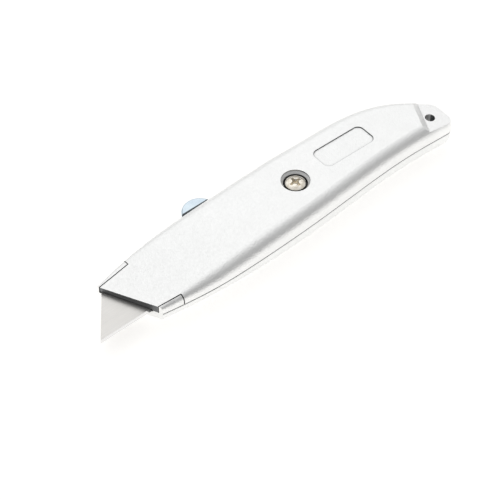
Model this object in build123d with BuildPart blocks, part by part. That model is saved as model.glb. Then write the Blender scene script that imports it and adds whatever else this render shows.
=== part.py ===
from build123d import *
import os
from math import cos, radians, sin, tan

# Retractable utility knife lying on its flat side. Millimetres, +Z up.
# Origin: on the body screw's axis, in the plane the knife rests on.
# -X is the nose, +X the tail, +Y the spine with its thumb button.
os.makedirs("parts", exist_ok=True)

# Body
half_thickness = 7.6  # from the parting plane to either flat side
spine_height = 16.8  # from the screw's axis to the highest point of the spine
belly_depth = 16.8  # from the screw's axis to the lowest point of the belly
tail_x = 70.4
wall = 1.9
edge_round = 5.0  # rounding between the flat sides and the spine and belly
least_corner = 0.3  # smallest rounding inside the body
corner_share = 0.85  # most of the height that a rounding may take
parting_chamfer = 0.28
flat_relief = 0.03  # the flat sides are milled this much below the rounded form
tail_round = 3.4

# The body's shape along X. Each row: x, then shares of the belly's depth, the spine's height,
# the half thickness and the edge rounding
STATIONS = [
    (-90.0, -0.655, 0.545, 0.280, 0.12),
    (-80.0, -0.750, 0.672, 0.370, 0.20),
    (-70.0, -0.840, 0.795, 0.480, 0.38),
    (-60.0, -0.925, 0.892, 0.600, 0.64),
    (-50.0, -0.980, 0.950, 0.720, 0.85),
    (-38.0, -1.000, 0.968, 0.855, 0.97),
    (-24.0, -0.990, 0.976, 0.960, 1.00),
    (-8.0, -0.960, 0.992, 1.000, 1.00),
    (8.0, -0.905, 1.000, 1.000, 1.00),
    (26.0, -0.832, 0.980, 1.000, 1.00),
    (40.0, -0.795, 0.915, 1.000, 1.00),
    (50.0, -0.795, 0.757, 1.000, 1.00),
    (58.0, -0.815, 0.510, 1.000, 1.00),
    (65.0, -0.840, 0.175, 1.000, 1.00),
]
TAIL_STATION = (-0.845, -0.090, 1.000, 1.00)

# Nose: its front face leans forward at the spine
nose_x = -80.0  # where the front face crosses y = 0
nose_lean = 25.6  # degrees
cheek_gap = 0.4  # between the cover's tongue and the base's cheeks
spine_cheek_end = -70.8
spine_cheek_y = 10.6  # the cheek's inner side at its rear end
spine_cheek_taper = 5.5  # degrees
belly_cheek_end = -65.2
belly_cheek_y = -13.2
belly_cheek_taper = -7.0  # degrees

# Tail: each flat side steps down from a slanted crease to a thinner end
crease_x = 61.4  # where the crease crosses y = 0
crease_lean = -27.0  # degrees
step_length = 2.6
step_drop = 2.0
end_slope = 4.0  # degrees
hang_hole_x = 63.6
hang_hole_y = -6.9
hang_hole_radius = 2.0
hang_boss_radius = 3.9

# Label panel and screw recess in the cover
panel_x = 25.9
panel_y = 1.8
panel_length = 24.4
panel_height = 10.0
panel_corner = 2.6
panel_depth = 0.3
panel_turn = -1.0  # degrees
recess_radius = 5.6
recess_depth = 3.1
recess_wall = 0.5  # depth of the recess's upright outer wall
recess_cone = 0.9  # how far the cone below it narrows
recess_floor = 1.5

# Blade
blade_length = 61.0
blade_height = 19.0
blade_thickness = 0.6
blade_end_angle = 52.7  # degrees, between the cutting edge and either end
blade_out = 22.7  # length of cutting edge outside the nose at rest
edge_y = -9.8  # the cutting edge's height
grind_height = 1.1
edge_flat = 0.08
notch_width = 3.0
notch_depth = 3.2
notch_spacing = 10.0
blade_play = 0.15  # on each side of the blade in the nose

# Inside of the body
cavity_front = -57.0
track_end = 12.6  # rear end of the carrier's track
track_y = 12.6  # the carrier's top edge
track_gap = 0.15  # from the carrier's top edge to the rail
slide_gap = 0.1  # between the sliding pieces and the ribs under and over them
rib_width = 1.4
rib_low_y = -5.0  # lower side of the rib near the belly
rib_mid_y = 5.6  # lower side of the base's middle rib
rib_top_y = 10.6  # lower side of the base's top rib
cover_rib_y = 1.5  # lower side of the cover's upper rib

# Carrier
carrier_thickness = 1.0
carrier_front = -67.0
carrier_arm_y = 5.0  # lower side of the arm beside the blade's notches
carrier_neck_x = -55.0
carrier_hip_x = -48.0
carrier_low_y = -7.0
carrier_tail_x = -33.4  # rear end of the carrier's lower part
carrier_rear = -15.0
carrier_rear_y = 5.4  # lower side of the rear arm, above the screw's boss
travel = 26.0
lug_play = 0.2
stop_play = 0.2  # between the blade's rear end and the step behind it
stop_top_y = 8.6
stop_rear = -27.0

# Thumb button
button_x = -34.5
button_width = 7.0
button_radius = 6.8
button_sink = 0.4  # the button's underside lies this much below the spine
button_over = 4.75  # the button's top above the spine
button_travel = 1.0
runway_depth = 1.55  # the spine's recess that the button slides in
runway_play = 0.25
button_edge = 0.8
stem_length = 8.0
stem_play = 0.1
slot_play = 0.45
flute_radius = 0.55
flute_depth = 0.22
flute_count = 7
flute_step = 11.0  # degrees between the button's grooves

# Detent spring
leaf_thickness = 0.45
leaf_top = 3.2  # height of the leaf's upper edge above the parting plane
leaf_gap = 0.05
leaf_y = 10.25  # the leaf's spine side under the button
bump_x = -46.5
bump_half = 2.2
bump_rise = 0.9  # how far the bump stands up into a notch
detent_clear = 0.25
detent_count = 4
leaf_front = -51.0
rivet_radius = 1.5
rivet_head_radius = 1.9
rivet_head_height = 0.7
rivet_sink = 0.4
rivet_x = -19.0
rivet_y = 7.5
tab_thickness = 0.5

# Screw and insert
screw_radius = 2.5
thread_depth = 0.3
thread_pitch = 0.8
screw_play = 0.05
cover_hole_play = 0.2
head_radius = 3.9
head_height = 2.7
head_dome = 0.9
cross_width = 1.1
cross_length = 5.4
cross_depth = 1.7
boss_radius = 4.8
insert_radius = 3.6
insert_length = 5.2
tip_gap = 0.5

# Spare blades and their clip
spare_count = 5
spare_x = 0.0  # front end of the spare blades' cutting edges
spare_y = -10.2  # their cutting edges
spare_gap = 0.03
spare_below = 0.25  # from the top spare blade to the parting plane
store_play = 0.1  # round the spare blades' cutting edges
seat_radius = 2.3
seat_y = -6.0  # the seats near the cutting edges
peg_radius = 1.15
peg_rise = 0.6
clip_thickness = 0.4
clip_width = 5.4
clip_foot = 2.6
clip_hump = 1.0
clip_post_radius = 2.6
clip_post_inset = 2.2
clip_rivet_radius = 1.1
clip_head_radius = 1.7
clip_head_height = 0.6
clip_touch_y = 3.6

# Worked out from the sizes above
mid_z = half_thickness
blade_half = blade_thickness / 2
slot_half = blade_half + blade_play
blade_front = nose_x - edge_y * tan(radians(nose_lean)) - blade_out
blade_top = edge_y + blade_height
carrier_low = -blade_half - carrier_thickness
bottom_of_track = carrier_low - slide_gap
top_of_track = blade_half + slide_gap
rail_y = track_y + track_gap
stem_foot_y = leaf_y + leaf_gap
stem_thickness = 2 * (blade_half + carrier_thickness)
far = 60.0  # reach of a cutting sketch past the body


def level(height):
    """Horizontal plane at a height above the parting plane."""
    return Plane.XY.offset(mid_z + height)


def across(x):
    """Section plane at x: its x is the knife's Y, its y is the height above the parting plane."""
    return Plane(origin=(x, 0, mid_z), x_dir=(0, 1, 0), z_dir=(1, 0, 0))


def share_at(x, column):
    """The station table's value at x, between its rows."""
    rows = STATIONS + [(tail_x, *TAIL_STATION)]
    for low, high in zip(rows, rows[1:]):
        if low[0] <= x <= high[0]:
            part = (x - low[0]) / (high[0] - low[0])
            return low[column] + part * (high[column] - low[column])
    return rows[-1][column]


def spine_at(x):
    return share_at(x, 2) * spine_height


floor_height = -(half_thickness - wall)  # inside floor of the base, measured from the parting plane
spine_under_button = spine_at(button_x)
button_under = spine_under_button - button_sink
runway_y = spine_under_button - runway_depth


def half_form(side, inset):
    """Half of the body as a loft of round-cornered sections. side is 1 for the cover, -1 for the base."""
    with BuildPart() as form:
        for x, belly, spine, share, rounding in STATIONS + [(tail_x, *TAIL_STATION)]:
            low = belly * belly_depth + inset
            high = spine * spine_height - inset
            top = share * (half_thickness + flat_relief) - inset
            corner = min(max(rounding * edge_round - inset, least_corner), corner_share * top)
            with BuildSketch(across(x)):
                with BuildLine():
                    RadiusArc((low, side * (top - corner)), (low + corner, side * top), side * corner)
                    Line((low + corner, side * top), (high - corner, side * top))
                    RadiusArc((high - corner, side * top), (high, side * (top - corner)), side * corner)
                    Polyline(
                        (high, side * (top - corner)),
                        (high, 0),
                        (low, 0),
                        (low, side * (top - corner)),
                    )
                make_face()
        loft()
    return form.part


def block(low, high, mode=Mode.ADD):
    """Box between two corners. Their heights are measured from the parting plane."""
    with BuildSketch(level(low[2])) as plan:
        with Locations(((low[0] + high[0]) / 2, (low[1] + high[1]) / 2)):
            Rectangle(high[0] - low[0], high[1] - low[1])
    extrude(plan.sketch, amount=high[2] - low[2], mode=mode)


def post(x, y, radius, low, high, mode=Mode.ADD):
    """Upright round post or hole between two heights above the parting plane."""
    with BuildSketch(level(low)) as plan:
        with Locations((x, y)):
            Circle(radius)
    extrude(plan.sketch, amount=high - low, mode=mode)


def prism(points, low, high, mode=Mode.ADD):
    """Upright prism over a polygon in plan, between two heights above the parting plane."""
    with BuildSketch(level(low)) as plan:
        with BuildLine():
            Polyline(*points, close=True)
        make_face()
    extrude(plan.sketch, amount=high - low, mode=mode)


def spine_cheek(shift):
    """Plan corners of the base's cheek on the spine side, grown by shift."""
    slope = tan(radians(spine_cheek_taper))
    front = nose_x - far / 2
    inner = spine_cheek_y - shift
    return [
        (spine_cheek_end + shift, inner + slope * shift),
        (spine_cheek_end + shift, far),
        (front, far),
        (front, inner + slope * (front - spine_cheek_end)),
    ]


def belly_cheek(shift):
    """Plan corners of the base's cheek on the belly side, grown by shift."""
    slope = tan(radians(belly_cheek_taper))
    front = nose_x - far / 2
    inner = belly_cheek_y + shift
    return [
        (belly_cheek_end + shift, inner + slope * shift),
        (belly_cheek_end + shift, -far),
        (front, -far),
        (front, inner + slope * (front - belly_cheek_end)),
    ]


def cut_nose():
    """Trim the front face to its lean."""
    lean = far * tan(radians(nose_lean))
    front = nose_x - 2 * far
    outline = [(nose_x - lean, far), (nose_x + lean, -far), (front, -far), (front, far)]
    prism(outline, -far, far, Mode.SUBTRACT)


def cut_tail(side, inset=0):
    """Step the flat side down to the thinner tail end."""
    lean = radians(crease_lean)
    crease = Plane(
        origin=(crease_x, 0, mid_z),
        x_dir=(cos(lean), sin(lean), 0),
        z_dir=(-sin(lean), cos(lean), 0),
    )
    up = side * crease.y_dir.Z
    top = half_thickness - inset
    end = far / 2
    with BuildSketch(crease) as profile:
        with BuildLine():
            Polyline(
                (0, up * top),
                (step_length, up * (top - step_drop)),
                (step_length + end, up * (top - step_drop - end * tan(radians(end_slope)))),
                (step_length + end, up * far),
                (0, up * far),
                close=True,
            )
        make_face()
    extrude(profile.sketch, amount=far, both=True, mode=Mode.SUBTRACT)


def cut_flat(side):
    """Mill the flat side to the body's thickness."""
    low, high = sorted((side * half_thickness, side * far))
    block((-2 * far, -far, low), (2 * far, far, high), Mode.SUBTRACT)


def parting_edges(part):
    """Long outer edges of a half where the two halves meet."""
    on_plane = part.edges().filter_by_position(Axis.Z, mid_z - 0.01, mid_z + 0.01)
    return [edge for edge in on_plane if edge.length > half_thickness * 6]


def tail_edges(part):
    """Outline of the tail's end cap, without the edge on the parting plane."""
    cap = part.faces().sort_by(Axis.X)[-1]
    return [edge for edge in cap.edges() if abs(edge.center().Z - mid_z) > 0.01]


def cavity_form(side):
    """Space inside a half: it follows the outer form beside the carrier's straight rail."""
    with BuildPart() as cavity:
        add(half_form(side, wall))
        block((-2 * far, -far, -far), (cavity_front, far, far), Mode.SUBTRACT)
        block((cavity_front, rail_y, -far), (track_end, far, far), Mode.SUBTRACT)
        block((tail_x - wall - tail_round / 2, -far, -far), (2 * far, far, far), Mode.SUBTRACT)
        post(0, 0, boss_radius, -far, far, Mode.SUBTRACT)
        post(hang_hole_x, hang_hole_y, hang_boss_radius, -far, far, Mode.SUBTRACT)
        cut_tail(side, wall)
    return cavity.part


def outer_form(side):
    """One half of the body before it is hollowed, with its parting edges eased."""
    with BuildPart() as form:
        add(half_form(side, 0))
        fillet(tail_edges(form.part), tail_round)
        chamfer(parting_edges(form.part), parting_chamfer)
        cut_flat(side)
        cut_tail(side)
        cut_nose()
    return form.part


def cut_openings():
    """Openings that both halves share: blade channel, spine slot, button runway and hang hole."""
    block(
        (nose_x - far, edge_y - blade_play, -slot_half),
        (cavity_front + 1, blade_top + blade_play, slot_half),
        Mode.SUBTRACT,
    )
    front = button_x - stem_length / 2 - slot_play
    rear = button_x + stem_length / 2 + travel + slot_play
    slot_reach = stem_thickness / 2 + slot_play
    block((front, rail_y - slot_play, -slot_reach), (rear, far, slot_reach), Mode.SUBTRACT)
    runway_reach = button_width / 2 + runway_play
    reach = button_radius + runway_play + slot_play
    block(
        (button_x - reach, runway_y, -runway_reach),
        (button_x + travel + reach, far, runway_reach),
        Mode.SUBTRACT,
    )
    post(hang_hole_x, hang_hole_y, hang_hole_radius, -far, far, Mode.SUBTRACT)


def cut_screw_recess():
    """Dished recess of the body screw, and the screw's clearance hole."""
    top = half_thickness
    with BuildSketch(Plane(origin=(0, 0, mid_z), x_dir=(1, 0, 0), z_dir=(0, -1, 0))) as profile:
        with BuildLine():
            Polyline(
                (0, top + 1),
                (recess_radius, top + 1),
                (recess_radius, top - recess_wall),
                (recess_radius - recess_cone, top - recess_wall - recess_cone),
                (recess_radius - recess_cone, top - recess_depth),
                (screw_radius + cover_hole_play, top - recess_depth),
                (screw_radius + cover_hole_play, -1),
                (0, -1),
                close=True,
            )
        make_face()
    revolve(profile.sketch, axis=Axis.Z, mode=Mode.SUBTRACT)


# ---------------------------------------------------------------- cover
cover_form = outer_form(1)
detent_pitch = travel / (detent_count - 1)

with BuildPart() as cover_cavity:
    add(cavity_form(1))
    # ribs that hold the blade and the carrier down
    for low_y in (cover_rib_y, rib_low_y):
        block((-far, low_y, top_of_track), (0, low_y + rib_width, far), Mode.SUBTRACT)
    # cup under the screw recess
    cup_top = half_thickness - recess_depth - recess_floor
    post(0, 0, recess_radius + recess_floor / 2, cup_top, far, Mode.SUBTRACT)

with BuildPart() as cover_shell:
    add(cover_form)
    add(cover_cavity.part, mode=Mode.SUBTRACT)
    cut_screw_recess()
    # notches that the spring's bump drops into
    for index in range(detent_count):
        centre = bump_x + index * detent_pitch
        reach = bump_half + detent_clear
        block(
            (centre - reach, rail_y - slot_play, 0),
            (centre + reach, rail_y + bump_rise + detent_clear, leaf_top + detent_clear),
            Mode.SUBTRACT,
        )
    prism(spine_cheek(cheek_gap), 0, far, Mode.SUBTRACT)
    prism(belly_cheek(cheek_gap), 0, far, Mode.SUBTRACT)
    cut_openings()
    # blank label panel
    with BuildSketch(level(half_thickness - panel_depth)) as panel:
        with Locations(Location((panel_x, panel_y), panel_turn)):
            RectangleRounded(panel_length, panel_height, panel_corner)
    extrude(panel.sketch, amount=2 * panel_depth, mode=Mode.SUBTRACT)
cover_shell.part.label = "cover_shell"
export_step(cover_shell.part, "parts/cover_shell.step")

# ---------------------------------------------------------------- base
with BuildPart() as cheeks:
    add(cover_form)
    with BuildSketch(level(0)) as cheek_plan:
        with BuildLine():
            Polyline(*spine_cheek(0), close=True)
        make_face()
        with BuildLine():
            Polyline(*belly_cheek(0), close=True)
        make_face()
    extrude(cheek_plan.sketch, amount=far, mode=Mode.INTERSECT)

stack_top = -spare_below
stack_low = stack_top - spare_count * (blade_thickness + spare_gap)
spare_middle = spare_x + blade_length / 2
peg_y = spare_y + blade_height - notch_depth + notch_width / 2
clip_post_y = spine_at(spare_middle) - wall - clip_post_inset

with BuildPart() as base_cavity:
    add(cavity_form(-1))
    # ribs that carry the slide
    for low_y, rear in ((rib_low_y, 0), (rib_mid_y, track_end - 2 * rib_width), (rib_top_y, track_end)):
        block((-far, low_y, -far), (rear, low_y + rib_width, bottom_of_track), Mode.SUBTRACT)
    # seats under the spare blades, pegs in their notches, and the clip's post
    for side in (-1, 1):
        peg_x = spare_middle + side * notch_spacing / 2
        post(peg_x, peg_y, seat_radius, -far, stack_low, Mode.SUBTRACT)
        post(peg_x, peg_y, peg_radius, -far, stack_top + peg_rise, Mode.SUBTRACT)
        post(spare_middle + side * 2 * notch_spacing, seat_y, seat_radius, -far, stack_low, Mode.SUBTRACT)
    post(spare_middle, clip_post_y, clip_post_radius, -far, stack_top, Mode.SUBTRACT)

with BuildPart() as base_shell:
    add(outer_form(-1))
    add(cheeks.part)
    add(base_cavity.part, mode=Mode.SUBTRACT)
    # groove for the carrier's front arm
    block(
        (carrier_front - slot_play, carrier_arm_y - slot_play, bottom_of_track),
        (cavity_front + 1, rail_y, slot_half),
        Mode.SUBTRACT,
    )
    # room for the spare blades' cutting edges in the rounding near the belly
    block(
        (spare_x - store_play, spare_y - store_play, stack_low - store_play),
        (spare_x + blade_length + store_play, seat_y - seat_radius, slot_half),
        Mode.SUBTRACT,
    )
    # seat of the threaded insert
    post(0, 0, insert_radius, -insert_length, slot_half, Mode.SUBTRACT)
    clip_hole_floor = stack_top - 2 * clip_rivet_radius
    post(spare_middle, clip_post_y, clip_rivet_radius, clip_hole_floor, stack_top, Mode.SUBTRACT)
    cut_openings()
base_shell.part.label = "base_shell"
export_step(base_shell.part, "parts/base_shell.step")


# ---------------------------------------------------------------- blades
def blade_at(front, low_y, middle):
    """Trapezoid blade with its cutting edge ground from both sides and two notches in its back."""
    slant = blade_height / tan(radians(blade_end_angle))
    high_y = low_y + blade_height
    with BuildPart() as blade:
        with BuildSketch(Plane(origin=(front, 0, mid_z + middle), x_dir=(0, 1, 0), z_dir=(1, 0, 0))):
            with BuildLine():
                Polyline(
                    (low_y, -edge_flat / 2),
                    (low_y + grind_height, -blade_half),
                    (high_y, -blade_half),
                    (high_y, blade_half),
                    (low_y + grind_height, blade_half),
                    (low_y, edge_flat / 2),
                    close=True,
                )
            make_face()
        extrude(amount=blade_length)
        for x, toward in ((front, 1), (front + blade_length, -1)):
            with BuildSketch(level(middle - 1)) as end:
                with BuildLine():
                    Polyline(
                        (x, low_y),
                        (x + toward * slant, high_y),
                        (x + toward * slant, high_y + 1),
                        (x - toward, high_y + 1),
                        (x - toward, low_y - 1),
                        (x, low_y - 1),
                        close=True,
                    )
                make_face()
            extrude(end.sketch, amount=2, mode=Mode.SUBTRACT)
        with BuildSketch(level(middle - 1)) as notches:
            with Locations((front + blade_length / 2, high_y + notch_depth)):
                with GridLocations(notch_spacing, 0, 2, 1):
                    SlotOverall(4 * notch_depth, notch_width, rotation=90)
        extrude(notches.sketch, amount=2, mode=Mode.SUBTRACT)
    return blade.part


with BuildPart() as working_blade:
    add(blade_at(blade_front, edge_y, 0))
working_blade.part.label = "working_blade"
export_step(working_blade.part, "parts/working_blade.step")

for index in range(spare_count):
    middle = stack_low + spare_gap + blade_half + index * (blade_thickness + spare_gap)
    with BuildPart() as spare_blade:
        add(blade_at(spare_x, spare_y, middle))
    name = f"spare_blade_{index + 1}"
    spare_blade.part.label = name
    export_step(spare_blade.part, f"parts/{name}.step")


# ---------------------------------------------------------------- carrier
def behind_blade(y):
    """X of the working blade's slanted rear end at height y."""
    return blade_front + blade_length - (y - edge_y) / tan(radians(blade_end_angle))


stem_front = button_x - stem_length / 2
stem_rear = button_x + stem_length / 2
rear_notch_x = blade_front + blade_length / 2 + notch_spacing / 2
notch_floor_y = blade_top - notch_depth

with BuildPart() as blade_carrier:
    prism(
        [
            (carrier_front, carrier_arm_y),
            (carrier_neck_x, carrier_arm_y),
            (carrier_hip_x, carrier_low_y),
            (carrier_tail_x, carrier_low_y),
            (carrier_tail_x, carrier_rear_y),
            (carrier_rear, carrier_rear_y),
            (carrier_rear, track_y),
            (carrier_front, track_y),
        ],
        carrier_low,
        -blade_half,
    )
    corners = blade_carrier.edges().filter_by(Axis.Z)
    fillet(corners, carrier_thickness)
    # step that backs the blade's rear end
    prism(
        [
            (behind_blade(carrier_low_y) + stop_play, carrier_low_y),
            (carrier_tail_x, carrier_low_y),
            (carrier_tail_x, carrier_rear_y),
            (stop_rear, carrier_rear_y),
            (stop_rear, stop_top_y),
            (behind_blade(stop_top_y) + stop_play, stop_top_y),
        ],
        -blade_half,
        blade_half,
    )
    # lug in the blade's rear notch
    lug_reach = notch_width / 2 - lug_play
    with BuildSketch(level(-blade_half)) as lug:
        with Locations((rear_notch_x, (notch_floor_y + lug_play + blade_top) / 2)):
            SlotOverall(notch_depth - lug_play, 2 * lug_reach, rotation=90)
    extrude(lug.sketch, amount=blade_thickness)
    # gap for the button's stem
    block(
        (stem_front - stem_play, stem_foot_y - button_travel - slot_play, carrier_low - 1),
        (stem_rear + stem_play, far, blade_half + 1),
        Mode.SUBTRACT,
    )
    # countersunk rivet hole
    post(rivet_x, rivet_y, rivet_radius, carrier_low - 1, blade_half, Mode.SUBTRACT)
    with BuildSketch(level(carrier_low)) as sink:
        with Locations((rivet_x, rivet_y)):
            Circle(rivet_radius + rivet_sink)
    extrude(sink.sketch, amount=rivet_sink, taper=45, mode=Mode.SUBTRACT)
blade_carrier.part.label = "blade_carrier"
export_step(blade_carrier.part, "parts/blade_carrier.step")

# ---------------------------------------------------------------- detent spring
bump_top_y = rail_y + bump_rise
tab_low = -blade_half
tab_top = tab_low + tab_thickness

with BuildPart() as detent_spring:
    with BuildSketch(level(leaf_gap)) as leaf:
        with BuildLine():
            Polyline(
                (leaf_front, leaf_y),
                (bump_x - bump_half, leaf_y + bump_rise),
                (bump_x - bump_half / 3, bump_top_y),
                (bump_x + bump_half / 3, bump_top_y),
                (bump_x + bump_half, leaf_y),
                (rivet_x + rivet_head_radius, leaf_y),
            )
            offset(amount=leaf_thickness, side=Side.RIGHT)
        make_face()
    extrude(leaf.sketch, amount=leaf_top - leaf_gap)
    block(
        (rivet_x - rivet_head_radius, rivet_y - rivet_head_radius, tab_low),
        (rivet_x + rivet_head_radius, leaf_y - leaf_thickness / 2, tab_top),
    )
    post(rivet_x, rivet_y, rivet_radius, tab_low - 1, tab_top + 1, Mode.SUBTRACT)
detent_spring.part.label = "detent_spring"
export_step(detent_spring.part, "parts/detent_spring.step")

with BuildPart() as spring_rivet:
    post(rivet_x, rivet_y, rivet_radius, carrier_low, tab_top)
    with BuildSketch(level(carrier_low)) as sink:
        with Locations((rivet_x, rivet_y)):
            Circle(rivet_radius + rivet_sink)
    extrude(sink.sketch, amount=rivet_sink, taper=45)
    post(rivet_x, rivet_y, rivet_head_radius, tab_top, tab_top + rivet_head_height)
    fillet(spring_rivet.edges().group_by(Axis.Z)[-1], rivet_head_height * 0.8)
spring_rivet.part.label = "spring_rivet"
export_step(spring_rivet.part, "parts/spring_rivet.step")

# ---------------------------------------------------------------- thumb button
button_top_y = spine_under_button + button_over
button_centre_y = button_top_y - button_radius

with BuildPart() as thumb_button:
    with BuildSketch(level(-button_width / 2)) as disc:
        with Locations((button_x, button_centre_y)):
            Circle(button_radius)
        with Locations((button_x, button_under - far / 2)):
            Rectangle(far, far, mode=Mode.SUBTRACT)
    extrude(disc.sketch, amount=button_width)
    rim = thumb_button.edges().filter_by(GeomType.CIRCLE)
    fillet(rim, button_edge)
    # finger grooves across the crown
    for index in range(flute_count):
        angle = radians(90 + (index - (flute_count - 1) / 2) * flute_step)
        reach = button_radius - flute_depth + flute_radius
        post(
            button_x + reach * cos(angle),
            button_centre_y + reach * sin(angle),
            flute_radius,
            -button_width,
            button_width,
            Mode.SUBTRACT,
        )
    block(
        (stem_front, stem_foot_y, -stem_thickness / 2),
        (stem_rear, button_under + button_edge, stem_thickness / 2),
    )
thumb_button.part.label = "thumb_button"
export_step(thumb_button.part, "parts/thumb_button.step")

# ---------------------------------------------------------------- body screw and its insert
head_seat = half_thickness - recess_depth
tip = -insert_length + tip_gap
thread_turns = int((-tip - thread_pitch) / thread_pitch)
front_plane = Plane(origin=(0, 0, mid_z), x_dir=(1, 0, 0), z_dir=(0, -1, 0))

with BuildPart() as body_screw:
    with BuildSketch(front_plane) as profile:
        with BuildLine():
            Polyline(
                (0, tip),
                (screw_radius - thread_depth, tip),
                (screw_radius - thread_depth, tip + thread_pitch / 2),
            )
            for turn in range(thread_turns):
                foot = tip + thread_pitch / 2 + turn * thread_pitch
                Polyline(
                    (screw_radius - thread_depth, foot),
                    (screw_radius, foot + thread_pitch / 2),
                    (screw_radius - thread_depth, foot + thread_pitch),
                )
            thread_end = tip + thread_pitch / 2 + thread_turns * thread_pitch
            Polyline(
                (screw_radius - thread_depth, thread_end),
                (screw_radius - thread_depth, head_seat),
                (head_radius, head_seat),
                (head_radius, head_seat + head_height - head_dome),
            )
            RadiusArc(
                (head_radius, head_seat + head_height - head_dome),
                (0, head_seat + head_height),
                -(head_radius**2 + head_dome**2) / (2 * head_dome),
            )
            Line((0, head_seat + head_height), (0, tip))
        make_face()
    revolve(profile.sketch, axis=Axis.Z)
    with BuildSketch(level(head_seat + head_height - cross_depth)) as cross:
        Rectangle(cross_length, cross_width)
        Rectangle(cross_width, cross_length)
    extrude(cross.sketch, amount=cross_depth, mode=Mode.SUBTRACT)
body_screw.part.label = "body_screw"
export_step(body_screw.part, "parts/body_screw.step")

with BuildPart() as thread_insert:
    post(0, 0, insert_radius, -insert_length, 0)
    post(0, 0, screw_radius + screw_play, -insert_length - 1, 1, Mode.SUBTRACT)
thread_insert.part.label = "thread_insert"
export_step(thread_insert.part, "parts/thread_insert.step")

# ---------------------------------------------------------------- spare blades' clip
with BuildPart() as blade_clip:
    foot_rear = clip_post_y + clip_foot / 2
    foot_front = clip_post_y - clip_foot / 2 - clip_head_radius
    side_plane = Plane(
        origin=(spare_middle - clip_width / 2, 0, mid_z + stack_top), x_dir=(0, 1, 0), z_dir=(1, 0, 0)
    )
    with BuildSketch(side_plane) as strip:
        with BuildLine():
            Polyline(
                (foot_rear, clip_thickness),
                (foot_front, clip_thickness),
                (foot_front - clip_hump, clip_thickness + clip_hump),
                (clip_touch_y, clip_thickness + spare_gap),
                (clip_touch_y - clip_hump, clip_thickness + clip_hump / 2),
            )
            offset(amount=clip_thickness, side=Side.LEFT)
        make_face()
    extrude(strip.sketch, amount=clip_width)
    post(spare_middle, clip_post_y, clip_rivet_radius, stack_top - 1, stack_top + 1, Mode.SUBTRACT)
blade_clip.part.label = "blade_clip"
export_step(blade_clip.part, "parts/blade_clip.step")

with BuildPart() as clip_rivet:
    clip_top = stack_top + clip_thickness
    post(spare_middle, clip_post_y, clip_rivet_radius, stack_top - 2 * clip_rivet_radius, clip_top)
    post(spare_middle, clip_post_y, clip_head_radius, clip_top, clip_top + clip_head_height)
    fillet(clip_rivet.edges().group_by(Axis.Z)[-1], clip_head_height * 0.8)
clip_rivet.part.label = "clip_rivet"
export_step(clip_rivet.part, "parts/clip_rivet.step")
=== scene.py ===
import math
import bpy
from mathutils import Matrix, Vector


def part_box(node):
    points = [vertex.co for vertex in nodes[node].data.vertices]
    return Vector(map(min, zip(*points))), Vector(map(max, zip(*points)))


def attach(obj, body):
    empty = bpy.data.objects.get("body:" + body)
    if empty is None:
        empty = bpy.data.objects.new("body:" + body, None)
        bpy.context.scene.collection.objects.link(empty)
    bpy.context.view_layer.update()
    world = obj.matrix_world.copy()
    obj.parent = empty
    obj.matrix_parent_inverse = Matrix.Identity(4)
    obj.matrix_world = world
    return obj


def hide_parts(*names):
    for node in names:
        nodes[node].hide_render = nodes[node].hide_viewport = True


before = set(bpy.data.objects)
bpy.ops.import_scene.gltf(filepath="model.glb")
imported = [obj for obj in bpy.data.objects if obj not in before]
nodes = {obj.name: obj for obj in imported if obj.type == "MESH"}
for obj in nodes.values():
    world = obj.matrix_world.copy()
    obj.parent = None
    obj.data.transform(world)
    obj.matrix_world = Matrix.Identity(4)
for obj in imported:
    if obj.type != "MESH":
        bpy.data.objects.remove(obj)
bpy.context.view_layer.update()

mm = 0.001
print("frame loaded:", len(nodes), "pieces")

shot = {
    "eye": (-0.26814, -0.29015, 0.42445),
    "aim": (-0.03087, -0.01025, 0.0076),
    "lens": 109.99,
}


def placeCamera():
    camera = bpy.data.cameras.new("camera")
    camera.sensor_width = 36
    camera.lens = shot["lens"]
    camera.clip_start = 0.02
    camera.clip_end = 20
    holder = bpy.data.objects.new("camera", camera)
    bpy.context.scene.collection.objects.link(holder)
    holder.location = shot["eye"]
    look = Vector(shot["aim"]) - Vector(shot["eye"])
    holder.rotation_euler = look.to_track_quat("-Z", "Y").to_euler()
    bpy.context.scene.camera = holder


def dropSelection():
    bpy.ops.object.select_all(action="DESELECT")
    bpy.context.view_layer.objects.active = None


def addNode(tree, kind, place, **values):
    node = tree.nodes.new(kind)
    node.location = place
    for name, value in values.items():
        setattr(node, name, value)
    return node


def wire(tree, source, target):
    tree.links.new(source, target)


studio = {
    "skyAim": (0.30, 0.52, 0.80),  # the middle of the bright part of the room
    "sky": ((0.0, 0.34), (0.30, 0.42), (0.62, 0.60), (0.86, 0.80), (0.97, 1.0)),  # horizon to middle
    "lampAim": (-0.02, 0, 0),
    "softbox": {"place": (0.42, 0.52, 0.78), "size": 1.1, "power": 0.7},
    "overhead": {"place": (-0.1, 0.35, 1.2), "size": 1.4, "power": 2.6},  # metal doesn't mirror it
}
paperLook = {
    "size": 3.0,
    "drop": -0.2 * mm,  # just under the knife, so the two never share a plane
    "color": (0.60, 0.59, 0.575),
    "fleck": 0.985,  # how much darker the fibres are
    "glow": 0.64,  # lit from below like a light table, so shadows stay faint
    "glowColor": (1, 0.995, 0.985, 1),
    "roughness": 0.75,
    "gloss": 0.2,
    "fibreScale": 900,
    "relief": 0.1 * mm,
}


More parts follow.
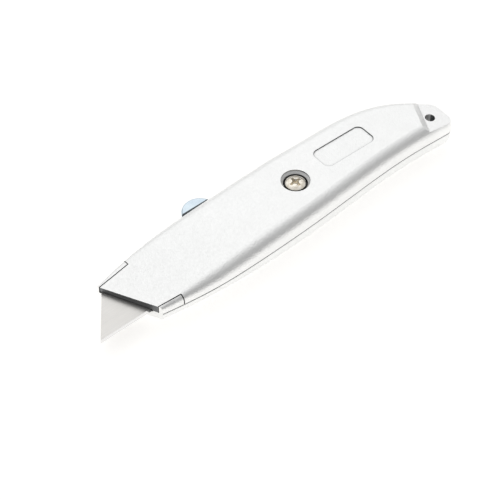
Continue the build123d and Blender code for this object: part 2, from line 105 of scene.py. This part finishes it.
def layFloor():
    look = paperLook
    dropSelection()
    bpy.ops.mesh.primitive_plane_add(size=look["size"], location=(0, 0, look["drop"]))
    floor = bpy.context.object
    floor.name = "floor"
    bpy.ops.object.transform_apply(location=True, rotation=True, scale=True)
    paper = bpy.data.materials.new("whitePaper")
    paper.use_nodes = True
    tree = paper.node_tree
    shader = tree.nodes["Principled BSDF"]
    shader.inputs["Roughness"].default_value = look["roughness"]
    shader.inputs["Specular IOR Level"].default_value = look["gloss"]
    shader.inputs["Emission Color"].default_value = look["glowColor"]
    shader.inputs["Emission Strength"].default_value = look["glow"]
    where = addNode(tree, "ShaderNodeTexCoord", (-900, 0))
    fibres = addNode(tree, "ShaderNodeTexNoise", (-700, 0))
    fibres.inputs["Scale"].default_value = look["fibreScale"]
    fibres.inputs["Detail"].default_value = 3
    tone = addNode(tree, "ShaderNodeMix", (-300, 100), data_type="RGBA")
    tone.inputs["A"].default_value = look["color"] + (1,)
    tone.inputs["B"].default_value = [level * look["fleck"] for level in look["color"]] + [1]
    bump = addNode(tree, "ShaderNodeBump", (-300, -200))
    bump.inputs["Strength"].default_value = 0.15
    bump.inputs["Distance"].default_value = look["relief"]
    wire(tree, where.outputs["Object"], fibres.inputs["Vector"])
    wire(tree, fibres.outputs["Fac"], tone.inputs["Factor"])
    wire(tree, tone.outputs["Result"], shader.inputs["Base Color"])
    wire(tree, fibres.outputs["Fac"], bump.inputs["Height"])
    wire(tree, bump.outputs["Normal"], shader.inputs["Normal"])
    floor.data.materials.append(paper)


def hangLamp(name):
    values = studio[name]
    lamp = bpy.data.lights.new(name, "AREA")
    lamp.shape = "SQUARE"
    lamp.size = values["size"]
    lamp.energy = values["power"]
    holder = bpy.data.objects.new(name, lamp)
    bpy.context.scene.collection.objects.link(holder)
    holder.location = values["place"]
    aim = Vector(studio["lampAim"]) - Vector(values["place"])
    holder.rotation_euler = aim.to_track_quat("-Z", "Y").to_euler()
    return holder


def lightRoom():
    world = bpy.data.worlds.new("room")
    bpy.context.scene.world = world
    world.use_nodes = True
    tree = world.node_tree
    background = tree.nodes["Background"]
    where = addNode(tree, "ShaderNodeTexCoord", (-900, 0))
    toward = addNode(tree, "ShaderNodeVectorMath", (-700, 0), operation="DOT_PRODUCT")
    toward.inputs[1].default_value = Vector(studio["skyAim"]).normalized()
    ramp = addNode(tree, "ShaderNodeValToRGB", (-500, 0))
    stops = ramp.color_ramp.elements
    stops.remove(stops[1])
    for index, (position, level) in enumerate(studio["sky"]):
        stop = stops[0] if index == 0 else stops.new(position)
        stop.position = position
        stop.color = [level] * 3 + [1]
    wire(tree, where.outputs["Generated"], toward.inputs[0])
    wire(tree, toward.outputs["Value"], ramp.inputs["Fac"])
    wire(tree, ramp.outputs["Color"], background.inputs["Color"])
    hangLamp("softbox")
    overhead = hangLamp("overhead")
    overhead.visible_glossy = False
    bpy.context.scene.view_settings.view_transform = "Standard"


placeCamera()
layFloor()
lightRoom()
print("camera, floor and light are ready")



def startMetal(name):
    material = bpy.data.materials.new(name)
    material.use_nodes = True
    tree = material.node_tree
    shader = tree.nodes["Principled BSDF"]
    shader.inputs["Metallic"].default_value = 1.0
    where = addNode(tree, "ShaderNodeTexCoord", (-1600, 0))
    return material, tree, shader, where.outputs["Object"]


def stretched(tree, source, scale, place, turn=(0, 0, 0)):
    mapping = addNode(tree, "ShaderNodeMapping", place)
    mapping.inputs["Scale"].default_value = scale
    mapping.inputs["Rotation"].default_value = turn
    wire(tree, source, mapping.inputs["Vector"])
    return mapping.outputs["Vector"]


def noise(tree, source, scale, detail, place, rough=0.5):
    texture = addNode(tree, "ShaderNodeTexNoise", place)
    texture.inputs["Scale"].default_value = scale
    texture.inputs["Detail"].default_value = detail
    texture.inputs["Roughness"].default_value = rough
    wire(tree, source, texture.inputs["Vector"])
    return texture.outputs["Fac"]


def fitRange(tree, source, low, high, newLow, newHigh, place):
    fit = addNode(tree, "ShaderNodeMapRange", place)
    fit.inputs["From Min"].default_value = low
    fit.inputs["From Max"].default_value = high
    fit.inputs["To Min"].default_value = newLow
    fit.inputs["To Max"].default_value = newHigh
    wire(tree, source, fit.inputs["Value"])
    return fit.outputs["Result"]


def blendColor(tree, factor, first, second, place):
    mix = addNode(tree, "ShaderNodeMix", place, data_type="RGBA")
    wire(tree, factor, mix.inputs["Factor"])
    for socket, value in (("A", first), ("B", second)):
        if isinstance(value, tuple):
            mix.inputs[socket].default_value = value + (1,)
        else:
            wire(tree, value, mix.inputs[socket])
    return mix.outputs["Result"]


def combine(tree, operation, first, second, place):
    step = addNode(tree, "ShaderNodeMath", place, operation=operation)
    for index, value in enumerate((first, second)):
        if isinstance(value, (int, float)):
            step.inputs[index].default_value = value
        else:
            wire(tree, value, step.inputs[index])
    return step.outputs["Value"]


def roughen(tree, height, strength, distance, place):
    bump = addNode(tree, "ShaderNodeBump", place)
    bump.inputs["Strength"].default_value = strength
    bump.inputs["Distance"].default_value = distance
    wire(tree, height, bump.inputs["Height"])
    return bump.outputs["Normal"]


# the mask between low and high lets the second colour in, up to its share
def tint(tree, mask, low, high, share, first, second, place):
    amount = fitRange(tree, mask, low, high, 0, share, (place[0] - 200, place[1]))
    return blendColor(tree, amount, first, second, place)


def finishMetal(tree, shader, tone, grain, roughness, relief):
    wire(tree, tone, shader.inputs["Base Color"])
    wire(tree, fitRange(tree, grain, 0.3, 0.7, *roughness, (-950, 100)), shader.inputs["Roughness"])
    wire(tree, relief, shader.inputs["Normal"])


def edgeMask(tree, low, high, place):
    sharp = addNode(tree, "ShaderNodeNewGeometry", place)
    return fitRange(tree, sharp.outputs["Pointiness"], low, high, 0, 1, (place[0] + 200, place[1]))


alloyLook = {
    "face": (0.95, 0.955, 0.95),
    "shade": (0.93, 0.935, 0.93),
    "castFinishAndShade": (0.50, 0.505, 0.51),  # as cast inside the body; also painted shade in pockets and along the label panel's edge
    "edge": (0.97, 0.97, 0.965),
    "wear": 0.6,
    "roughness": (0.38, 0.50),
    "rawRoughness": 0.62,
    "grainScale": 2000,
    "grainDepth": 0.10 * mm,
    "cut": (0.17, 0.175, 0.18),  # painted shade on the cover's front end face
    "creviceShade": (0.10, 0.10, 0.105),  # painted shade in the joints
    "pocketReach": 7 * mm,
    "jointReach": 1.2 * mm,
    "swellScale": 120,
    "panelMiddle": (25.9 * mm, 1.8 * mm, 0),  # the cover's label panel, outlined with a painted shade line
    "panelHalf": (12.2 * mm, 5.0 * mm),
    "panelCorner": 2.6 * mm,
    "panelTurn": math.radians(-1),
    "panelLine": 0.24 * mm,
    "panelShade": 0.55,
}


def panelOutline(tree, place):
    look = alloyLook
    corner = look["panelCorner"]
    centred = addNode(tree, "ShaderNodeMapping", (-1400, 1400), vector_type="TEXTURE")
    centred.inputs["Location"].default_value = look["panelMiddle"]
    centred.inputs["Rotation"].default_value = (0, 0, look["panelTurn"])
    wire(tree, place, centred.inputs["Vector"])
    folded = addNode(tree, "ShaderNodeVectorMath", (-1200, 1400), operation="ABSOLUTE")
    wire(tree, centred.outputs["Vector"], folded.inputs[0])
    flat = addNode(tree, "ShaderNodeVectorMath", (-1000, 1400), operation="MULTIPLY_ADD")
    wire(tree, folded.outputs["Vector"], flat.inputs[0])
    flat.inputs[1].default_value = (1, 1, 0)
    flat.inputs[2].default_value = (corner - look["panelHalf"][0], corner - look["panelHalf"][1], 0)
    outside = addNode(tree, "ShaderNodeVectorMath", (-800, 1400), operation="MAXIMUM")
    wire(tree, flat.outputs["Vector"], outside.inputs[0])
    outside.inputs[1].default_value = (0, 0, 0)
    reach = addNode(tree, "ShaderNodeVectorMath", (-600, 1400), operation="LENGTH")
    wire(tree, outside.outputs["Vector"], reach.inputs[0])
    away = combine(tree, "SUBTRACT", reach.outputs["Value"], corner, (-400, 1400))
    away = combine(tree, "ABSOLUTE", away, 0, (-250, 1400))
    line = fitRange(tree, away, look["panelLine"], 0.05 * mm, 0, 1, (-100, 1400))
    split = addNode(tree, "ShaderNodeSeparateXYZ", (-1200, 1250))
    wire(tree, place, split.inputs["Vector"])
    onTop = fitRange(tree, split.outputs["Z"], 14.0 * mm, 14.5 * mm, 0, 1, (-1000, 1250))
    return combine(tree, "MULTIPLY", line, onTop, (50, 1400))


def castAlloy(name, isCover):
    look = alloyLook
    material, tree, shader, place = startMetal(name)
    grain = noise(tree, place, look["grainScale"], 2, (-1300, -300), 0.6)
    speckle = noise(tree, place, look["grainScale"] * 0.5, 2, (-1300, -500), 0.6)
    swell = noise(tree, place, look["swellScale"], 3, (-1300, 200))
    # corners and pockets, found by occlusion, get the rougher as-cast finish and a darker colour that is
    # partly painted shade
    pocket = addNode(tree, "ShaderNodeAmbientOcclusion", (-1300, 500), samples=4, only_local=True)
    pocket.inputs["Distance"].default_value = look["pocketReach"]
    castFinishAndShade = fitRange(tree, pocket.outputs["AO"], 0.35, 0.75, 1, 0, (-1100, 500))
    tone = tint(tree, swell, 0.35, 0.7, 1, look["face"], look["shade"], (-850, 250))
    tone = tint(tree, speckle, 0.45, 0.75, 0.35, tone, look["shade"], (-700, 250))
    tone = blendColor(tree, castFinishAndShade, tone, look["castFinishAndShade"], (-550, 300))
    worn = edgeMask(tree, 0.53, 0.60, (-1300, 800))
    tone = tint(tree, worn, 0, 1, look["wear"], tone, look["edge"], (-350, 350))
    if isCover:  # painted shade on the nose's front face and along the label panel's edge
        facing = addNode(tree, "ShaderNodeNewGeometry", (-900, 1050))
        split = addNode(tree, "ShaderNodeSeparateXYZ", (-700, 1050))
        wire(tree, facing.outputs["Normal"], split.inputs["Vector"])
        nose = fitRange(tree, split.outputs["X"], -0.75, -0.86, 0, 1, (-500, 1050))
        tone = blendColor(tree, nose, tone, look["cut"], (-200, 500))
        # a painted shade line round the label panel
        outline = combine(tree, "MULTIPLY", panelOutline(tree, place), look["panelShade"], (200, 1400))
        tone = blendColor(tree, outline, tone, look["castFinishAndShade"], (0, 500))
    # painted shade in the joints between the halves
    joint = addNode(tree, "ShaderNodeAmbientOcclusion", (-1300, 1700), samples=8)
    joint.inputs["Distance"].default_value = look["jointReach"]
    level = addNode(tree, "ShaderNodeSeparateXYZ", (-1300, 1900))
    wire(tree, place, level.inputs["Vector"])
    jointShade = fitRange(tree, joint.outputs["AO"], 0.55, 0.92, 1, 0, (-1100, 1700))
    # the floor's own shade stays off the base
    above = fitRange(tree, level.outputs["Z"], 1.6 * mm, 2.6 * mm, 0, 1, (-1100, 1900))
    jointShade = combine(tree, "MULTIPLY", jointShade, above, (-900, 1750))
    tone = blendColor(tree, jointShade, tone, look["creviceShade"], (200, 500))
    wire(tree, tone, shader.inputs["Base Color"])
    rough = fitRange(tree, speckle, 0.3, 0.75, *look["roughness"], (-850, -50))
    more = combine(tree, "MULTIPLY", castFinishAndShade, look["rawRoughness"] - look["roughness"][1], (-700, 50))
    rough = combine(tree, "ADD", rough, more, (-500, 0))
    wire(tree, rough, shader.inputs["Roughness"])
    coarse = combine(tree, "MULTIPLY", speckle, 0.5, (-1050, -500))
    height = combine(tree, "ADD", grain, coarse, (-850, -400))
    normal = roughen(tree, height, 1.0, look["grainDepth"], (-600, -400))
    wire(tree, normal, shader.inputs["Normal"])
    return material


bladeLook = {
    "steel": (0.68, 0.665, 0.64),
    "light": (0.74, 0.725, 0.70),
    # the ground bevel's own finish, brightened further as a painted highlight
    "bevel": (0.86, 0.85, 0.835),
    "line": (0.55, 0.555, 0.56),
    "bevelHeight": 1.1 * mm,
    "bevelBlend": 0.077 * mm,
    "roughness": (0.30, 0.42),
    "bevelRoughness": (0.10, 0.26),
    "relief": 0.008 * mm,
}


def groundSteel(name, edgeY):
    look = bladeLook
    material, tree, shader, place = startMetal(name)
    along = noise(tree, stretched(tree, place, (60, 5200, 5200), (-1350, 0)), 1, 4, (-1150, 0), 0.65)
    across = noise(tree, stretched(tree, place, (6500, 350, 350), (-1350, -300)), 1, 3, (-1150, -300), 0.6)
    haze = noise(tree, place, 90, 4, (-1150, 300))
    split = addNode(tree, "ShaderNodeSeparateXYZ", (-1350, 600))
    wire(tree, place, split.inputs["Vector"])
    top = edgeY + look["bevelHeight"]
    onBevel = fitRange(tree, split.outputs["Y"], top, top - look["bevelBlend"], 0, 1, (-1150, 600))
    tone = tint(tree, haze, 0.3, 0.7, 1, look["steel"], look["light"], (-750, 300))
    tone = tint(tree, along, 0.42, 0.72, 0.4, tone, look["line"], (-600, 250))
    # the bevel strip is painted brighter: its ground finish plus a painted highlight
    tone = blendColor(tree, onBevel, tone, look["bevel"], (-400, 300))
    wire(tree, tone, shader.inputs["Base Color"])
    flat = fitRange(tree, along, 0.3, 0.7, *look["roughness"], (-950, -100))
    ground = fitRange(tree, across, 0.3, 0.7, *look["bevelRoughness"], (-950, -250))
    mixRough = addNode(tree, "ShaderNodeMix", (-600, -100), data_type="FLOAT")
    wire(tree, onBevel, mixRough.inputs["Factor"])
    wire(tree, flat, mixRough.inputs["A"])
    wire(tree, ground, mixRough.inputs["B"])
    wire(tree, mixRough.outputs["Result"], shader.inputs["Roughness"])
    mixHeight = addNode(tree, "ShaderNodeMix", (-600, -400), data_type="FLOAT")
    wire(tree, onBevel, mixHeight.inputs["Factor"])
    wire(tree, along, mixHeight.inputs["A"])
    wire(tree, across, mixHeight.inputs["B"])
    normal = roughen(tree, mixHeight.outputs["Result"], 0.35, look["relief"], (-350, -400))
    wire(tree, normal, shader.inputs["Normal"])
    return material


buttonLook = {
    "chrome": (0.66, 0.755, 0.82),
    "shade": (0.50, 0.60, 0.70),
    "edge": (0.88, 0.93, 0.97),
    "wear": 0.5,
    "roughness": (0.18, 0.32),
    "relief": 0.01 * mm,
    # colour of the shadow painted at the button's foot
    "footShadow": (0.06, 0.065, 0.07),
    "foot": 4.0 * mm,  # from the button's top down to its foot, where the painted shadow starts
    "footBlend": 0.25 * mm,
    "stem": 6.0 * mm,  # from the top down to where the painted shadow ends, inside the body
    "stemBlend": 0.6 * mm,
}


def satinChrome():
    look = buttonLook
    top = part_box("thumb_button")[1].y
    material, tree, shader, place = startMetal("coolChrome")
    brushed = noise(tree, stretched(tree, place, (4200, 4200, 260), (-1350, 0)), 1, 3, (-1150, 0), 0.6)
    cloud = noise(tree, place, 420, 3, (-1150, 300))
    tone = tint(tree, cloud, 0.4, 0.75, 0.6, look["chrome"], look["shade"], (-700, 300))
    worn = edgeMask(tree, 0.52, 0.60, (-1150, 600))
    tone = tint(tree, worn, 0, 1, look["wear"], tone, look["edge"], (-450, 350))
    # painted shadow where the button meets the spine, a dark band in the colour
    split = addNode(tree, "ShaderNodeSeparateXYZ", (-1350, 900))
    wire(tree, place, split.inputs["Vector"])
    foot = top - look["foot"]
    stem = top - look["stem"]
    under = fitRange(tree, split.outputs["Y"], foot, foot - look["footBlend"], 0, 1, (-1150, 900))
    over = fitRange(tree, split.outputs["Y"], stem - look["stemBlend"], stem, 0, 1, (-1150, 1150))
    footShadow = combine(tree, "MULTIPLY", under, over, (-900, 1000))
    tone = blendColor(tree, footShadow, tone, look["footShadow"], (-250, 400))
    relief = roughen(tree, brushed, 0.3, look["relief"], (-500, -200))
    finishMetal(tree, shader, tone, brushed, look["roughness"], relief)
    return material


carrierLook = {
    "steel": (0.60, 0.61, 0.62),
    "oil": (0.40, 0.39, 0.37),
    "edge": (0.78, 0.78, 0.78),
    "wear": 0.6,
    "roughness": (0.24, 0.45),
    "relief": 0.015 * mm,
}


def rolledSteel():
    look = carrierLook
    material, tree, shader, place = startMetal("oiledSteel")
    rolled = noise(tree, stretched(tree, place, (90, 3600, 3600), (-1350, 0)), 1, 4, (-1150, 0), 0.6)
    oil = noise(tree, stretched(tree, place, (70, 160, 160), (-1350, 300)), 1, 4, (-1150, 300))
    tone = tint(tree, oil, 0.45, 0.7, 0.75, look["steel"], look["oil"], (-700, 300))
    worn = edgeMask(tree, 0.52, 0.60, (-1150, 600))
    tone = tint(tree, worn, 0, 1, look["wear"], tone, look["edge"], (-450, 350))
    relief = roughen(tree, rolled, 0.4, look["relief"], (-500, -200))
    finishMetal(tree, shader, tone, rolled, look["roughness"], relief)
    return material


springLook = {
    "blue": (0.36, 0.38, 0.43),
    "straw": (0.47, 0.44, 0.40),
    "roughness": (0.20, 0.36),
    "relief": 0.01 * mm,
}


def temperedSteel():
    look = springLook
    material, tree, shader, place = startMetal("temperedSteel")
    heat = noise(tree, place, 160, 2, (-1150, 300))
    grain = noise(tree, stretched(tree, place, (140, 4000, 4000), (-1350, 0)), 1, 3, (-1150, 0), 0.6)
    tone = tint(tree, heat, 0.35, 0.68, 1, look["blue"], look["straw"], (-700, 300))
    relief = roughen(tree, grain, 0.3, look["relief"], (-500, -200))
    finishMetal(tree, shader, tone, grain, look["roughness"], relief)
    return material


zincLook = {
    "zinc": (0.72, 0.73, 0.74),
    "dull": (0.50, 0.51, 0.52),
    "roughness": (0.28, 0.50),
    "flakeScale": 1400,
    "relief": 0.01 * mm,
}


def dullZinc():
    look = zincLook
    material, tree, shader, place = startMetal("dullZinc")
    flakes = addNode(tree, "ShaderNodeTexVoronoi", (-1150, 0))
    flakes.inputs["Scale"].default_value = look["flakeScale"]
    wire(tree, place, flakes.inputs["Vector"])
    cloud = noise(tree, place, 500, 4, (-1150, 300))
    tone = tint(tree, cloud, 0.4, 0.72, 0.8, look["zinc"], look["dull"], (-700, 300))
    relief = roughen(tree, flakes.outputs["Distance"], 0.25, look["relief"], (-500, -200))
    finishMetal(tree, shader, tone, cloud, look["roughness"], relief)
    return material


def coat(name, material):
    mesh = nodes[name].data
    mesh.materials.clear()
    mesh.materials.append(material)


coat("base_shell", castAlloy("baseAlloy", False))
coat("cover_shell", castAlloy("coverAlloy", True))
chrome = satinChrome()
coat("thumb_button", chrome)
coat("blade_carrier", rolledSteel())
tempered = temperedSteel()
coat("detent_spring", tempered)
coat("blade_clip", tempered)
zinc = dullZinc()
for name in ("spring_rivet", "clip_rivet", "thread_insert"):
    coat(name, zinc)
coat("working_blade", groundSteel("workingBladeSteel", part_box("working_blade")[0].y))
spareSteel = groundSteel("spareBladeSteel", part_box("spare_blade_1")[0].y)
for name in nodes:
    if name.startswith("spare_blade"):
        coat(name, spareSteel)
print("finishes are on")


screw = {
    "headRadius": 3.9 * mm,
    "headHeight": 2.7 * mm,
    "dome": 0.9 * mm,
    "domeRings": 8,
    "domeFlat": 0.3,  # of a ring's width, left flat at the top
    "crossLength": 5.4 * mm,
    "crossWidth": 1.15 * mm,
    "crossDepth": 1.7 * mm,
    "cutterProud": 0.05 * mm,
    "armTaper": (0.5, 0.7),  # of its length and width, at the bottom of the recess
    "pitRaise": 0.02 * mm,
    "pitProud": 0.4 * mm,
    "pitTop": 1.45 * mm,
    "pitBottom": 0.15 * mm,
    "rootRadius": 2.2 * mm,
    "threadDepth": 0.3 * mm,
    "pitch": 0.8 * mm,
    "crest": 0.2,  # crest's share of the pitch
    "threadSteps": 48,
    "merge": 0.002 * mm,  # points nearer than this become one
    "point": 0.4 * mm,
    "pointTaper": 0.82,
    "shankLength": 9.2 * mm,
    "neck": 1.2 * mm,  # plain length under the head
    "neckOverlap": 0.2 * mm,  # into the head and into the thread
    "neckInset": 0.2 * mm,
    "bevel": 0.06 * mm,
    "plate": (0.93, 0.885, 0.80),
    "dull": (0.60, 0.53, 0.42),
    "roughness": (0.14, 0.28),
    "relief": 0.012 * mm,
}


def pickFaces(piece, test):
    bpy.ops.object.mode_set(mode="EDIT")
    bpy.ops.mesh.select_mode(type="FACE")
    bpy.ops.mesh.select_all(action="DESELECT")
    bpy.ops.object.mode_set(mode="OBJECT")
    for face in piece.data.polygons:
        face.select = test(face.center, face.normal)
    bpy.ops.object.mode_set(mode="EDIT")


def pickEdges(piece, test):
    bpy.ops.object.mode_set(mode="EDIT")
    bpy.ops.mesh.select_mode(type="EDGE")
    bpy.ops.mesh.select_all(action="DESELECT")
    bpy.ops.object.mode_set(mode="OBJECT")
    points = piece.data.vertices
    for edge in piece.data.edges:
        ends = [points[index].co for index in edge.vertices]
        edge.select = test(ends[0], ends[1])
    bpy.ops.object.mode_set(mode="EDIT")


def settle(piece, name):
    bpy.ops.object.mode_set(mode="OBJECT")
    piece.name = name
    piece.data.name = name
    bpy.ops.object.transform_apply(location=True, rotation=True, scale=True)


def cutAway(piece, cutter):
    cut = piece.modifiers.new("cut", "BOOLEAN")
    cut.operation = "DIFFERENCE"
    cut.solver = "EXACT"
    cut.object = cutter
    bpy.context.view_layer.objects.active = piece
    bpy.ops.object.modifier_apply(modifier=cut.name)
    bpy.data.objects.remove(cutter)


def screwPlate():
    material, tree, shader, place = startMetal("warmZinc")
    rings = addNode(tree, "ShaderNodeTexWave", (-1150, 0), wave_type="RINGS", rings_direction="Z")
    rings.inputs["Scale"].default_value = 900
    rings.inputs["Distortion"].default_value = 3.0
    rings.inputs["Detail"].default_value = 2
    wire(tree, place, rings.inputs["Vector"])
    stain = noise(tree, place, 700, 4, (-1150, 300))
    tone = tint(tree, stain, 0.42, 0.75, 0.8, screw["plate"], screw["dull"], (-700, 300))
    relief = roughen(tree, rings.outputs["Fac"], 0.25, screw["relief"], (-500, -200))
    finishMetal(tree, shader, tone, stain, screw["roughness"], relief)
    return material


def makeScrewHead(seat):
    straight = screw["headHeight"] - screw["dome"]
    dropSelection()
    bpy.ops.mesh.primitive_cylinder_add(
        vertices=96, radius=screw["headRadius"], depth=straight, location=(0, 0, seat + straight / 2)
    )
    head = bpy.context.object
    settle(head, "crossHeadScrew")
    pickFaces(head, lambda middle, normal: normal.z > 0.9)
    # rings of a shallow dome
    sphere = (screw["headRadius"] ** 2 + screw["dome"] ** 2) / (2 * screw["dome"])
    widest = math.asin(screw["headRadius"] / sphere)
    top = seat + screw["headHeight"]
    radius, height = screw["headRadius"], seat + straight
    for ring in range(1, screw["domeRings"] + 1):
        angle = widest * (1 - ring / (screw["domeRings"] + screw["domeFlat"]))
        newRadius, newHeight = sphere * math.sin(angle), top - sphere * (1 - math.cos(angle))
        bpy.ops.mesh.extrude_region_move(TRANSFORM_OT_translate={"value": (0, 0, newHeight - height)})
        bpy.ops.transform.resize(
            value=(newRadius / radius, newRadius / radius, 1), center_override=(0, 0, newHeight)
        )
        radius, height = newRadius, newHeight
    # soft upper and lower rims
    rim = 0.999 * screw["headRadius"]
    pickEdges(
        head,
        lambda one, two: min(one.xy.length, two.xy.length) > rim and abs(one.z - two.z) < 0.01 * mm,
    )
    bpy.ops.mesh.bevel(offset=screw["bevel"], segments=3, affect="EDGES")
    bpy.ops.object.mode_set(mode="OBJECT")
    # two tapered arms and a pit in the middle make the recess
    bottom = top - screw["crossDepth"]
    tall = screw["crossDepth"] + screw["cutterProud"]
    long, thin = screw["crossLength"], screw["crossWidth"]
    lengthwise, sideways = screw["armTaper"]
    for size, taper in (((long, thin), (lengthwise, sideways)), ((thin, long), (sideways, lengthwise))):
        dropSelection()
        bpy.ops.mesh.primitive_cube_add(size=1, location=(0, 0, bottom + tall / 2))
        arm = bpy.context.object
        arm.scale = size + (tall,)
        settle(arm, "recessArm")
        pickFaces(arm, lambda middle, normal: normal.z < -0.9)
        bpy.ops.transform.resize(value=taper + (1,), center_override=(0, 0, bottom))
        bpy.ops.object.mode_set(mode="OBJECT")
        dropSelection()
        cutAway(head, arm)
    dropSelection()
    bpy.ops.mesh.primitive_cone_add(
        vertices=24,
        radius1=screw["pitBottom"],
        radius2=screw["pitTop"],
        depth=screw["crossDepth"],
        location=(0, 0, bottom + screw["crossDepth"] / 2 + screw["pitRaise"]),
    )
    pit = bpy.context.object
    settle(pit, "recessPit")
    pickFaces(pit, lambda middle, normal: normal.z > 0.9)
    bpy.ops.mesh.extrude_region_move(TRANSFORM_OT_translate={"value": (0, 0, screw["pitProud"])})
    bpy.ops.object.mode_set(mode="OBJECT")
    dropSelection()
    cutAway(head, pit)
    return head


def bisectAt(height, **side):
    bpy.ops.mesh.bisect(
        plane_co=(0, 0, height), plane_no=(0, 0, 1), use_fill=True, threshold=0.0001 * mm, **side
    )


# one tooth's outline swept up the shank, then cut to length and pointed
def makeThread(low, high):
    pitch, depth, root = screw["pitch"], screw["threadDepth"], screw["rootRadius"]
    half = root + depth / 2
    tip = low + screw["point"]
    dropSelection()
    bpy.ops.mesh.primitive_plane_add(
        size=pitch, rotation=(math.pi / 2, 0, 0), location=(half, 0, low - pitch / 2)
    )
    thread = bpy.context.object
    thread.scale = (depth / pitch, 1, 1)
    settle(thread, "screwThread")
    pickFaces(thread, lambda middle, normal: True)
    bpy.ops.mesh.delete(type="ONLY_FACE")
    pickEdges(thread, lambda one, two: max(one.x, two.x) < half)
    bpy.ops.mesh.delete(type="EDGE")
    pickEdges(thread, lambda one, two: min(one.x, two.x) > half)
    crestMiddle = (root + depth, 0, low - pitch / 2)
    bpy.ops.transform.resize(value=(1, 1, screw["crest"]), center_override=crestMiddle)
    bpy.ops.object.mode_set(mode="OBJECT")
    sweep = thread.modifiers.new("sweep", "SCREW")
    sweep.angle = 2 * math.pi
    sweep.screw_offset = pitch
    sweep.iterations = int((high - low) / pitch) + 3
    sweep.steps = screw["threadSteps"]
    sweep.render_steps = screw["threadSteps"]
    bpy.ops.object.modifier_apply(modifier=sweep.name)
    bpy.ops.object.mode_set(mode="EDIT")
    bpy.ops.mesh.select_all(action="SELECT")
    bpy.ops.mesh.remove_doubles(threshold=screw["merge"])
    bpy.ops.mesh.select_all(action="SELECT")
    bisectAt(high, clear_outer=True)
    bpy.ops.mesh.select_all(action="SELECT")
    bisectAt(tip, clear_inner=True)
    pickFaces(thread, lambda middle, normal: abs(middle.z - tip) < 0.001 * mm)
    bpy.ops.mesh.extrude_region_move(TRANSFORM_OT_translate={"value": (0, 0, -screw["point"])})
    taper = screw["pointTaper"]
    bpy.ops.transform.resize(value=(taper, taper, 1), center_override=(0, 0, low))
    bpy.ops.object.mode_set(mode="OBJECT")
    return thread


def makeScrew():
    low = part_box("body_screw")[0]
    seat = low.z + screw["shankLength"]
    head = makeScrewHead(seat)
    thread = makeThread(low.z, seat - screw["neck"])
    dropSelection()
    bpy.ops.mesh.primitive_cylinder_add(
        vertices=48,
        radius=screw["rootRadius"],
        depth=screw["neck"] + 2 * screw["neckOverlap"],
        location=(0, 0, seat - screw["neck"] / 2),
    )
    neck = bpy.context.object
    settle(neck, "screwNeck")
    pickFaces(neck, lambda middle, normal: normal.z > 0.9)
    bpy.ops.mesh.inset(thickness=screw["neckInset"])
    bpy.ops.object.mode_set(mode="OBJECT")
    dropSelection()
    for part in (neck, thread, head):
        part.select_set(True)
    bpy.context.view_layer.objects.active = head
    bpy.ops.object.join()
    bpy.ops.object.mode_set(mode="EDIT")
    bpy.ops.mesh.select_all(action="SELECT")
    bpy.ops.mesh.remove_doubles(threshold=screw["merge"])
    bpy.ops.mesh.normals_make_consistent(inside=False)
    bpy.ops.object.mode_set(mode="OBJECT")
    bpy.ops.object.shade_smooth_by_angle(angle=math.radians(35))
    head.data.materials.clear()
    head.data.materials.append(screwPlate())
    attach(head, "screw")
    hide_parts("body_screw")


makeScrew()
print("body screw is made")
